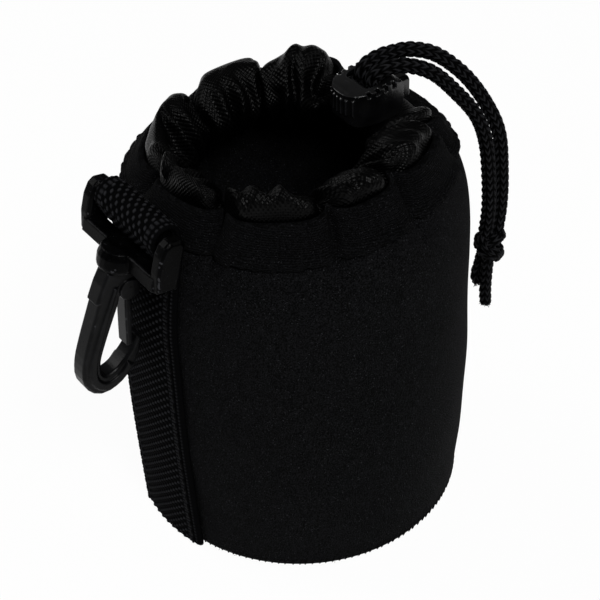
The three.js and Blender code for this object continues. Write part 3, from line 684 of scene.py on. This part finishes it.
def knot_place(route):
    """Points across, in front of and above the knot's middle, in the frame."""
    across = np.array([math.cos(knot_turn), math.sin(knot_turn), 0])
    front = np.array([math.sin(knot_turn), -math.cos(knot_turn), 0])
    return [knot_at + across * x + front * y + np.array([0, 0, z]) for x, y, z in route]


def knot_mesh():
    """An overhand knot in the doubled cord: two turns round the bundle, crossed by the pair coming out."""
    bands = []
    per_turn = 18

    def band(route, thick):
        bands.append(cord_tube("band", even_line(knot_place(route), cord_step), thick, 40, 1.2))

    def turn_round(tilt, height, start, turns, rise):
        route = []
        for step in range(int(per_turn * turns) + 1):
            angle = start + 2 * math.pi * step / per_turn
            x = knot_across * math.cos(angle)
            y = knot_front * math.sin(angle)
            route.append((x, y, height + tilt * x + rise * step / (per_turn * turns)))
        return route

    over_front = [
        (-1.2, 1.2, 4.6), (-2.2, 2.1, 3.4), (-1.2, 2.9, 1.4),
        (1.0, 3.0, -0.7), (2.0, 2.2, -2.6), (0.9, 0.9, -4.4),
    ]
    over_back = [
        (1.4, -1.0, 4.6), (2.0, -2.2, 2.6), (0.4, -2.9, 0.2), (-1.6, -2.3, -2.2), (-1.4, -0.8, -4.5),
    ]
    band(turn_round(tilt=0.42, height=2.4, start=0.4, turns=1.1, rise=-0.7), thick=3.3)
    band(turn_round(tilt=-0.36, height=-1.4, start=2.6, turns=1.1, rise=-0.6), thick=3.2)
    band(over_front, thick=2.9)
    band(over_back, thick=2.9)
    return joined("knot_bands", bands)


def tail_mesh(name, route):
    line = even_line(knot_place(route), cord_step)
    body = cord_tube(name, line, tail_diameter, 40, 1.1)
    along = Vector(line[-1] - line[-4]).normalized()
    strands = bmesh.new()
    strands.verts.layers.float.new("relief")
    for _ in range(fray_count):
        lean = Vector([chance.uniform(-0.75, 0.75) for _ in range(3)])
        aim = (along + lean * chance.uniform(0.2, 1.0)).normalized()
        reach = chance.uniform(0.8, 2.0)
        off = Vector([chance.uniform(-1.0, 1.0) for _ in range(3)])
        start = Vector(line[-3]) + off - along * off.dot(along)
        turn = aim.to_track_quat("Z", "Y").to_matrix().to_4x4()
        bmesh.ops.create_cone(
            strands, segments=4, radius1=0.2, radius2=0.08, depth=reach, cap_ends=True,
            matrix=Matrix.Translation(start + aim * reach * 0.3) @ turn,
        )
    layer = strands.verts.layers.float["relief"]
    for vert in strands.verts:
        vert[layer] = 0.5
    return joined(name, [body, mesh_from("fray", strands)])


def cord_piece(name, mesh, node):
    return piece(name, mesh, cord_yarn, stands_for=[node])


def make_cords():
    upper = cord_piece("cord_upper", cord_tube("cord_upper", upper_line), "drawcord_strand_upper")
    lower = cord_piece("cord_lower", cord_tube("cord_lower", lower_line), "drawcord_strand_lower")
    knot = cord_piece("cord_knot", knot_mesh(), "drawcord_knot")
    below = -knot_length / 2
    long_route = [(-0.1, 0.6, below + 2.5), (-0.3, 0.8, below - 1), (-0.5, 0.9, below - 6),
                  (-0.5, 0.8, below - 11), (-0.2, 0.7, below - 16)]
    short_route = [(-1.2, -1.4, below + 2.5), (-1.7, -2.0, below - 1), (-2.2, -2.2, below - 4.5),
                   (-2.8, -2.0, below - 7.5), (-2.3, -1.8, below - 10.4)]
    long_mesh = tail_mesh("cord_tail_long", long_route)
    long_tail = cord_piece("cord_tail_long", long_mesh, "drawcord_tail_long")
    short_mesh = tail_mesh("cord_tail_short", short_route)
    short_tail = cord_piece("cord_tail_short", short_mesh, "drawcord_tail_short")


def make_cord_run():
    ring_radius = 27.1
    ring_height = 101.7
    bend = cord_diameter + 0.3
    leave = math.asin((cord_spacing + bend) / ring_radius)

    def leg(side):
        curve = bend * 0.29
        return [
            (lock_x, side * cord_spacing, lock_top - 1.6),
            (lock_x, side * cord_spacing, lock_middle),
            (lock_x, side * cord_spacing, ring_height + bend),
            (lock_x + 0.3 * (ring_radius - lock_x), side * (cord_spacing + curve), ring_height + curve),
        ]

    angles = np.linspace(leave, 2 * math.pi - leave, 23)
    ring = [(ring_radius * math.cos(a), ring_radius * math.sin(a), slumped(a, ring_height)) for a in angles]
    line = even_line(drifted(np.array([*leg(1), *ring, *leg(-1)[::-1]])), 0.4)
    cord_piece("cord_run", cord_tube("cord_run", line, sides=32), "drawcord_run")


# Neoprene body

def soft_waves(angle, height):
    slow = np.sin(3 * angle + 0.05 * height + 1.3) + 0.7 * np.sin(5 * angle - 0.08 * height)
    quick = np.sin(11 * angle + 0.21 * height + 0.7) + np.sin(7 * angle - 0.16 * height + 2.1)
    return 0.22 * slow + 0.08 * quick


def make_wall():
    rebate = collar_thickness + 0.3 - collar_proud
    ledge = collar_bottom - 0.3
    up_wall = np.linspace(base_edge * 1.6, shoulder_start, 48)
    outside = np.concatenate([up_wall, np.linspace(shoulder_start + 1, ledge, 34)])
    inside = np.linspace(wall_top, 0.9, 30)
    edge = [
        (base_radius - neoprene + 0.4, 0.2),
        (base_radius - 2.6, 0),
        (base_radius - 1.1, 0.08),
        (base_radius - 0.35, 0.5),
        (wall_radius(base_edge) + 0.05, base_edge),
    ]

    def tucked(height):
        return wall_radius(height) - 1.2 * smoothstep(height, ledge - 1.4, ledge - 0.7)

    profile = [
        *edge,
        *[(tucked(height), height) for height in outside],
        (wall_radius(ledge) - rebate, ledge),
        (wall_radius(wall_top) - rebate, wall_top),
        *[(wall_radius(height) - neoprene, height) for height in inside],
    ]
    mesh = spun("wall", profile, 540)

    def ripple(angle, radius, height):
        on_wall = smoothstep(height, 2, 16)
        return radius + soft_waves(angle, height) * on_wall, height

    gather_mesh(mesh, ripple)
    wall = piece("wall_cloth", leaning(mesh), wall_cloth, stands_for=["wall_panel"])


def make_base():
    radius = base_radius - neoprene - 0.3
    profile = [
        (0, 0.25),
        (radius * 0.5, 0.2),
        (radius - 3, 0),
        (radius - 0.8, 0.1),
        (radius, 0.8),
        (radius, 4.2),
        (radius - 0.9, 4.9),
        (radius * 0.6, 5.2),
        (0, 5.3),
    ]
    line = even_line([(r, 0, z) for r, z in profile], 1.2)
    ends = [(0, profile[0][1]), *[(r, z) for r, _, z in line[1:-1]], (0, profile[-1][1])]
    base = piece("base_cloth", leaning(spun("base", ends, 180, closed=False)), wall_cloth,
                 stands_for=["base_panel"])


def ragged(angle):
    """The collar's cut lower edge: small uneven bumps round the seam."""
    steps = 190
    heights = np.array([chance.uniform(-0.7, 0.7) for _ in range(steps)])
    at = (angle / (2 * np.pi) % 1) * steps
    low = np.floor(at).astype(int)
    share = at - low
    share = share * share * (3 - 2 * share)
    return heights[low % steps] * (1 - share) + heights[(low + 1) % steps] * share


def make_collar():
    def outside(height):
        return wall_radius(height) + collar_proud

    lip = [
        (outside(101.6) - 0.3, 101.9),
        (outside(101.5) + 0.1, 101.3),
        (outside(101.5) + 0.65, 101.1),
        (outside(101.7) + 0.95, 101.5),
        (outside(102.3) + 0.85, 102.3),
        (outside(103.1) + 0.4, 103.1),
    ]
    profile = [
        *lip,
        *[(outside(height), height) for height in np.linspace(103.7, 110.2, 13)],
        (outside(110.7) - 0.15, 110.75),
        (outside(111) - 0.6, 111),
        (outside(111) - 1.5, 111),
        (outside(110.7) - 2.05, 110.7),
        *[(outside(height) - collar_thickness, height) for height in np.linspace(110, wall_top + 0.3, 6)],
    ]
    mesh = spun("collar", profile, 720)
    plain = points_of(mesh)
    turn = np.arctan2(plain[:, 1], plain[:, 0])
    at_edge = 1 - smoothstep(plain[:, 2], 101.5, wall_top)
    dropped = rim_drop * slack_at(turn) * smoothstep(plain[:, 2], wall_top + 0.5, collar_top)

    def ripple(angle, radius, height):
        bumps = at_edge * ragged(angle)
        return radius + 0.2 * bumps + 0.5 * soft_waves(angle, height), height + bumps - dropped

    gather_mesh(mesh, ripple)
    collar = piece("collar_cloth", mesh, collar_cloth, stands_for=["collar_band"])


# Nylon mouth

frill_columns = 420
frill_rows = 56
frill_profile = even_line(
    [
        (35.9, 0, 106.0),
        (35.1, 0, 109.6),
        (35.0, 0, 111.4),
        (33.6, 0, 113.2),
        (30.8, 0, 112.9),
        (27.6, 0, 110.6),
        (24.6, 0, 107.6),
        (22.2, 0, 104.9),
        (21.9, 0, 102.4),
        (23.2, 0, 99.6),
        (26.0, 0, 98.4),
        (31.0, 0, 97.9),
        (35.6, 0, 98.2),
    ],
    0.05,
)
mouth_drift = (-3.2, 0.8)
mouth_wider = 1.2
mouth_dip = 2.0
drift_start = 25
drift_end = 36
near_angle = math.radians(233)


def nearness(angle):
    return ((1 + np.cos(angle - near_angle)) / 2) ** 2


def frill_folds(angle, share):
    """Gathers drawn up by the cord: ridges of their own width that drift as they run in to the mouth."""
    dice = random.Random(7)
    total = np.zeros_like(angle)
    further = 0.15 + 0.85 * slack_at(angle)
    at = 0.0
    while at < 2 * math.pi:
        width = math.radians(dice.uniform(2.2, 3.8))
        drift = math.radians(dice.uniform(-16, 16))
        tall = dice.uniform(0.6, 1.5)
        from_share = dice.uniform(0.06, 0.4)
        along = angle - drift * (share - 0.4)
        ridge = np.exp(-((turns_apart(along, at) / width) ** 2))
        total += tall * ridge * smoothstep(share, from_share * further, from_share * further + 0.2)
        at += math.radians(dice.uniform(7.5, 14))
    return total


def frill_shape(angle, along):
    """Where the drawn-up cloth starts: puffed in lobes between the creases, with small gathers on them."""
    rows = len(frill_profile) - 1
    row = np.rint(along * rows).astype(int)
    slope = np.gradient(frill_profile, axis=0)
    slope /= np.linalg.norm(slope, axis=1)[:, None]
    free = smoothstep(along, 0.06, 0.2) * (1 - smoothstep(along, 0.66, 0.86))
    loose = free * (1 - 0.8 * pressed_at(angle))
    notch = np.clip(creases_at(angle), 0, 1)
    full = 1.4 * slack_at(angle) + 1.7 * nearness(angle)
    lobe = full * (1 - notch) * (1 - smoothstep(along, 0.3, 0.6))
    folds = (1.9 + 0.9 * nearness(angle)) * frill_folds(angle, along) - 0.8
    puff = (folds + lobe) * loose - 2.4 * notch * free
    radius = frill_profile[row, 0] + slope[row, 2] * puff
    height = frill_profile[row, 2] - slope[row, 0] * puff
    radius, height = gathered(angle, radius, height)
    return round_points(angle, radius, height)


def weigh(sample, name, weights, steps=20):
    group = sample.vertex_groups.new(name=name)
    levels = np.rint(weights * steps).astype(int)
    for level in range(1, steps + 1):
        group.add(np.flatnonzero(levels == level).tolist(), level / steps, "REPLACE")


def let_settle(mesh, held, kept, spare, steps, reach):
    """Cloth with more length than the room it is held in finds its own folds.

    Where it is kept it has none to spare. It is settled at ten times its real size, and no point moves
    further than the reach.
    """
    grown = 0.01
    start = points_of(mesh)
    sample = bpy.data.objects.new("settling", mesh.copy())
    scene.collection.objects.link(sample)
    place_points(sample.data, start * grown)
    weigh(sample, "held", held)
    weigh(sample, "kept", kept)
    settle = sample.modifiers.new("settle", "CLOTH")
    settings = settle.settings
    settings.quality = 5
    settings.mass = 0.05
    settings.tension_stiffness = 20
    settings.compression_stiffness = 20
    settings.shear_stiffness = 5
    settings.bending_stiffness = 4
    settings.vertex_group_mass = "held"
    settings.shrink_min = -spare
    settings.shrink_max = 0
    settings.vertex_group_shrink = "kept"
    settings.effector_weights.gravity = 0
    settle.collision_settings.use_collision = False
    for step in range(1, steps + 1):
        scene.frame_set(step)
    settled = sample.evaluated_get(bpy.context.evaluated_depsgraph_get()).to_mesh()
    moved = points_of(settled) / grown - start
    scene.frame_set(1)
    bpy.data.objects.remove(sample)
    far = np.linalg.norm(moved, axis=1)
    place_points(mesh, start + moved * np.minimum(1, reach / np.maximum(far, 1e-6))[:, None])
    shape = bmesh.new()
    shape.from_mesh(mesh)
    for _ in range(3):
        bmesh.ops.smooth_vert(
            shape, verts=shape.verts, factor=0.5, use_axis_x=True, use_axis_y=True, use_axis_z=True,
        )
    shape.to_mesh(mesh)
    shape.free()


def drifted(points):
    """The mouth lies a little to one side and dips at the near side, except under the lock."""
    angle = np.arctan2(points[:, 1], points[:, 0])
    radius = np.hypot(points[:, 0], points[:, 1])
    share = (1 - smoothstep(radius, drift_start, drift_end)) * (1 - pressed_at(angle))
    dip = mouth_dip * nearness(angle) * share
    moved = round_points(angle, radius + mouth_wider * share, points[:, 2] - dip)
    moved[:, 0] += mouth_drift[0] * share
    moved[:, 1] += mouth_drift[1] * share
    return moved


def make_frill():
    def place(across, along):
        return frill_shape(2 * np.pi * across, along), along

    mesh = laid("frill", frill_columns, frill_rows, place)
    points = points_of(mesh)
    angle = np.arctan2(points[:, 1], points[:, 0])
    along = np.empty(len(points))
    mesh.attributes["relief"].data.foreach_get("value", along)
    held = np.maximum(1 - smoothstep(along, 0.04, 0.14), smoothstep(along, 0.6, 0.74))
    held = np.maximum(held, pressed_at(angle))
    kept = 1 - smoothstep(along, 0.05, 0.5)
    let_settle(mesh, held, kept, spare=0.26, steps=18, reach=3.4)
    place_points(mesh, drifted(points_of(mesh)))
    frill = piece("mouth_frill", mesh, mouth_nylon, stands_for=["mouth_casing"])
    thick = frill.modifiers.new("cloth_thickness", "SOLIDIFY")
    thick.thickness = cloth * mm
    thick.offset = -1


# Webbing

def strap_inside(height):
    return wall_radius(height) - dent_depth(height) + 0.3


def strap_line():
    first = [(strap_inside(h) + webbing / 2, 0, h) for h in np.linspace(webbing_foot, fold_join - 1.5, 24)]
    loop = [
        (bar_reach + bar_loop * math.cos(a), 0, bar_height + bar_loop * math.sin(a))
        for a in np.radians([188, 160, 130, 100, 70, 40, 10, -12])
    ]
    back = [
        (strap_inside(h) + webbing * 1.5, 0, h) for h in (fold_join - 2.6, fold_join - 4.4, fold_end)
    ]
    way_up = [(bar_reach - bar_loop - 0.25, 0, 103.2)]
    way_down = [(bar_reach + 1.6, 0, 101.2), (bar_reach - 0.3, 0, 98.4)]
    return even_line([*first, *way_up, *loop, *way_down, *back], 0.28)


def strap_relief(aside, distance):
    """Coarse weave: slanted seeds that rise and dive along the strap, and a ladder at each edge."""
    column = aside / seed_width
    within = column % 1
    phase = distance / seed_pitch + 0.5 * np.floor(column) + 0.12 * within
    risen = np.clip(np.sin(2 * np.pi * phase) * 1.15 + 0.1, 0, 1)
    seed = risen ** 0.7 * np.sqrt(np.sin(np.pi * within))
    rung = np.sqrt(np.abs(np.sin(np.pi * distance / rung_pitch)))
    inset = np.minimum(aside, webbing_width - aside)
    ladder = 1 - smoothstep(inset, ladder_start, ladder_end)
    sewn_in = np.exp(-(((inset - groove_inset) / groove_width) ** 2))
    return (seed + (0.85 * rung - seed) * ladder) * (1 - 0.8 * sewn_in)


def strap_sag(aside, height):
    on_wall = 1 - smoothstep(height, shoulder_start, bar_height)
    return (body_radius - np.sqrt(body_radius ** 2 - aside ** 2)) * on_wall


def make_strap():
    line = strap_line()
    rings = len(line) - 1
    length = length_of(line)
    slope = np.gradient(line, axis=0)
    slope /= np.linalg.norm(slope, axis=1)[:, None]
    out = np.column_stack([slope[:, 2], np.zeros(len(line)), -slope[:, 0]])
    half = webbing_width / 2
    face = 0.46

    def place(across, along):
        ring = np.rint(along * rings).astype(int)
        distance = along * length
        lap = (across + face / 2) % 1
        on_front = lap < face
        on_back = (lap >= 0.5) & (lap < 0.5 + face)
        share = np.where(lap < 0.5, lap, lap - 0.5) / face
        turn = np.clip((share - 1) * face / (0.5 - face), 0, 1) * np.pi
        side = np.where(lap < 0.5, 1, -1)
        flat = np.clip(share, 0, 1) * 2 - 1
        edge = webbing / 2 * 0.72
        aside = side * (flat * (half - edge) + np.sin(turn) * edge)
        # The weave's relief shapes the strap and also darkens its colour in the grooves, at the sewn groove
        # and on the rolled edges: painted shade.
        relief = strap_relief(aside + half, distance) * np.where(on_front | on_back, 1, 0.5)
        thick = edge * np.cos(turn) + 0.42 * relief * np.where(turn > 0, 0.6, 1)
        points = line[ring] + out[ring] * (side * thick)[:, None]
        x = -points[:, 0] + strap_sag(aside, points[:, 2])
        return np.column_stack([x, aside, points[:, 2]]), relief ** 1.4

    mesh = laid("strap", 200, rings, place)
    shape = bmesh.new()
    shape.from_mesh(mesh)
    bmesh.ops.holes_fill(shape, edges=[edge for edge in shape.edges if edge.is_boundary], sides=0)
    bmesh.ops.recalc_face_normals(shape, faces=shape.faces)
    shape.to_mesh(mesh)
    shape.free()
    strap = piece("webbing", leaning(mesh), strap_yarn, stands_for=["webbing_strap"])
    stitches = piece("webbing_stitches", leaning(strap_stitches(line, out)), thread_yarn)


def stitch(shape, at, along, out, length, thick):
    """One laid stitch: a low rounded bead of thread."""
    along = Vector(along).normalized()
    out = Vector(out)
    out = (out - along * out.dot(along)).normalized()
    turn = Matrix((along, out.cross(along), out)).transposed().to_4x4()
    sizes = Matrix.Diagonal((length / 2, thick / 2, thick / 2, 1))
    bmesh.ops.create_uvsphere(
        shape, u_segments=8, v_segments=5, radius=1, matrix=Matrix.Translation(Vector(at)) @ turn @ sizes,
    )


def stitches_mesh(name, shape):
    layer = shape.verts.layers.float.new("relief")
    for vert in shape.verts:
        vert[layer] = 0.75
    return mesh_from(name, shape)


def strap_stitches(line, out):
    shape = bmesh.new()
    on_wall = [i for i in range(len(line)) if line[i][2] < fold_end - 2 and line[i][0] < body_radius + 3]
    points_per_stitch = 12
    edge_inset = 2.1
    lift = webbing / 2 + 0.08
    for row in (-1, 1):
        aside = row * (webbing_width / 2 - edge_inset)
        for i in on_wall[4:-4:points_per_stitch]:
            at = line[i] + out[i] * lift
            ahead = line[i + 1] - line[i]
            place = (-at[0] + strap_sag(aside, at[2]), aside, at[2])
            along = (-ahead[0], 0, ahead[2])
            stitch(shape, place, along, (-out[i][0], 0, out[i][2]), length=2.3, thick=0.75)
    row_pitch = 2.45
    for height in (fold_end + 1.2, fold_end + 3.2):
        for step in range(-4, 5):
            aside = step * row_pitch
            reach = strap_inside(height) + 2 * webbing + 0.02
            place = (-reach + strap_sag(aside, height), aside, height)
            stitch(shape, place, (0.08, 1, 0), (-1, 0, 0.2), length=2.0, thick=0.75)
    return stitches_mesh("webbing_stitches", shape)


# Seams of the body

def make_base_seam():
    shape = bmesh.new()
    for step in range(base_stitches):
        angle = 2 * math.pi * (step + chance.uniform(-0.15, 0.15)) / base_stitches
        if turns_apart(angle, math.pi) < strap_half_angle:
            continue
        reach = base_radius + 0.05
        out = (math.cos(angle), math.sin(angle), -0.35)
        along = (-math.sin(angle) * 0.45, math.cos(angle) * 0.45, 1)
        at = (reach * math.cos(angle), reach * math.sin(angle), 1.7)
        stitch(shape, at, along, out, length=2.4, thick=0.6)
    for step in range(under_stitches):
        angle = 2 * math.pi * step / under_stitches
        reach = base_radius - neoprene + 0.15
        at = (reach * math.cos(angle), reach * math.sin(angle), 0.32)
        stitch(shape, at, (math.cos(angle), math.sin(angle), 0), (0, 0, -1), length=2.2, thick=0.6)
    for _ in range(fuzz_count):
        angle = chance.uniform(0, 2 * math.pi)
        aim = Vector((math.cos(angle), math.sin(angle), chance.uniform(-0.25, 0.5)))
        aim = (aim + Vector((-math.sin(angle), math.cos(angle), 0)) * chance.uniform(-1, 1)).normalized()
        reach = chance.uniform(0.3, 0.8)
        height = chance.uniform(0.6, 2.6)
        out = Vector((math.cos(angle), math.sin(angle), 0))
        at = out * (wall_radius(height) - 0.1) + Vector((0, 0, height))
        turn = aim.to_track_quat("Z", "Y").to_matrix().to_4x4()
        bmesh.ops.create_cone(
            shape, segments=3, radius1=0.07, radius2=0.02, depth=reach, cap_ends=True,
            matrix=Matrix.Translation(at + aim * reach * 0.45) @ turn,
        )
    piece("base_seam", leaning(stitches_mesh("base_seam", shape)), thread_yarn)


# Moulded pieces

def soften(made, voxel, rounds):
    even = made.modifiers.new("even_faces", "REMESH")
    even.mode = "VOXEL"
    even.voxel_size = voxel
    even.use_smooth_shade = True
    soft = made.modifiers.new("soft_edges", "SMOOTH")
    soft.factor = 0.5
    soft.iterations = rounds


def dress_node(name, material, voxel, rounds):
    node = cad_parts[name]
    node.data.materials.clear()
    node.data.materials.append(material)
    soften(node, voxel * mm, rounds)


def make_lock_shell():
    """The lock's moulding, its top domed down to the ribbed end and to the flanks."""
    shape = bmesh.new()
    shape.from_mesh(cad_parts["lock_body"].data)
    bmesh.ops.scale(shape, vec=Vector((1, 1, 1)) / mm, verts=shape.verts)
    bmesh.ops.remove_doubles(shape, verts=shape.verts, dist=0.001)
    rough_cast = bpy.data.objects.new("rough_cast", mesh_from("rough_cast", shape))
    scene.collection.objects.link(rough_cast)
    soften(rough_cast, voxel=0.16, rounds=10)
    evaluated = rough_cast.evaluated_get(bpy.context.evaluated_depsgraph_get())
    shell = bpy.data.meshes.new_from_object(evaluated)
    bpy.data.objects.remove(rough_cast)
    points = points_of(shell)
    to_nose = smoothstep(lock_x - points[:, 0], 0, lock_nose)
    to_flank = (points[:, 1] / lock_half_width) ** 2
    on_top = smoothstep(points[:, 2], lock_top - 1.3, lock_top - 0.3)
    points[:, 2] -= np.minimum(0.8 * to_nose + 0.7 * to_flank, 1.15) * on_top
    place_points(shell, points)
    piece("lock_shell", shell, lock_plastic, stands_for=["lock_body"])


def make_spring():
    start = 17.1
    end = 20.5
    turns = 4
    coil_radius = 2.2
    wire_radius = 0.25
    steps = np.linspace(0, 1, 24 * turns + 1)
    angle = 2 * np.pi * turns * steps
    aside = coil_radius * np.cos(angle)
    height = lock_middle + coil_radius * np.sin(angle)
    line = even_line(np.column_stack([start + (end - start) * steps, aside, height]), 0.25)
    frames = frames_along(line)
    rings = len(line) - 1

    def place(across, along):
        ring = np.rint(along * rings).astype(int)
        reach = wire_radius * np.where((ring == 0) | (ring == rings), 0, 1)
        return line[ring] + reach[:, None] * outward(frames, ring, 2 * np.pi * across), across

    spring = piece("lock_coil", laid("lock_coil", 10, rings, place), spring_steel,
                   stands_for=["lock_spring"])
    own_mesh(spring)


# Floor and light

def make_stage():
    under_base = -0.0004
    floor_grey = 0.97
    glow_share = 0.96
    studio_light = 0.1
    shape = bmesh.new()
    bmesh.ops.create_grid(shape, x_segments=2, y_segments=2, size=4)
    bmesh.ops.translate(shape, verts=shape.verts, vec=(0, 0, under_base))
    floor = bpy.data.objects.new("floor", mesh_from("floor", shape))
    scene.collection.objects.link(floor)
    material = bpy.data.materials.new("pale_floor")
    material.use_nodes = True
    tree = material.node_tree
    tree.nodes.clear()
    path = tree.nodes.new("ShaderNodeLightPath").outputs
    seen = worked(tree, "MAXIMUM", path["Is Camera Ray"], path["Is Glossy Ray"])
    seen = worked(tree, "MAXIMUM", seen, path["Is Transmission Ray"])
    paint = put(tree, "ShaderNodeBsdfDiffuse", {"Color": (floor_grey, floor_grey, floor_grey, 1)})
    white = put(tree, "ShaderNodeEmission", {"Color": (1, 1, 1, 1), "Strength": 1.0})
    share = times(tree, seen, glow_share)
    both = put(tree, "ShaderNodeMixShader", {0: share, 1: paint.outputs[0], 2: white.outputs[0]})
    put(tree, "ShaderNodeOutputMaterial", {"Surface": both.outputs[0]})
    floor.data.materials.append(material)
    world = bpy.data.worlds.new("studio")
    scene.world = world
    world.use_nodes = True
    tree = world.node_tree
    path = tree.nodes.new("ShaderNodeLightPath").outputs
    seen = worked(tree, "MAXIMUM", path["Is Camera Ray"], path["Is Transmission Ray"])
    strength = worked(tree, "MULTIPLY_ADD", seen, 1 - studio_light, studio_light)
    tree.links.new(strength, tree.nodes["Background"].inputs["Strength"])
    tree.nodes["Background"].inputs["Color"].default_value = (1, 1, 1, 1)


def soft_lamp(name, place, size, power):
    data = bpy.data.lights.new(name, "AREA")
    data.shape = "DISK"
    data.size = size
    data.energy = power
    lamp = bpy.data.objects.new(name, data)
    lamp.location = place
    lamp.rotation_mode = "QUATERNION"
    lamp.rotation_quaternion = (Vector((0, 0, 0.07)) - Vector(place)).to_track_quat("-Z", "Y")
    scene.collection.objects.link(lamp)


def make_light():
    soft_lamp("key_lamp", (-0.25, -0.75, 1.05), size=0.4, power=10.0)
    soft_lamp("fill_lamp", (0.9, -0.55, 0.7), size=0.7, power=1.6)
    soft_lamp("rim_lamp", (-0.55, 0.85, 0.75), size=0.6, power=5.0)
    scene.view_settings.view_transform = "Standard"


set_camera()
make_cords()
make_cord_run()
make_wall()
make_base()
make_collar()
make_frill()
make_strap()
make_base_seam()
make_lock_shell()
dress_node("lock_plunger", lock_plastic, voxel=0.16, rounds=10)
dress_node("hook_frame", frame_plastic, voxel=0.17, rounds=14)
dress_node("hook_body", hook_plastic, voxel=0.17, rounds=5)
dress_node("hook_gate", hook_plastic, voxel=0.15, rounds=4)
make_spring()
make_stage()
make_light()
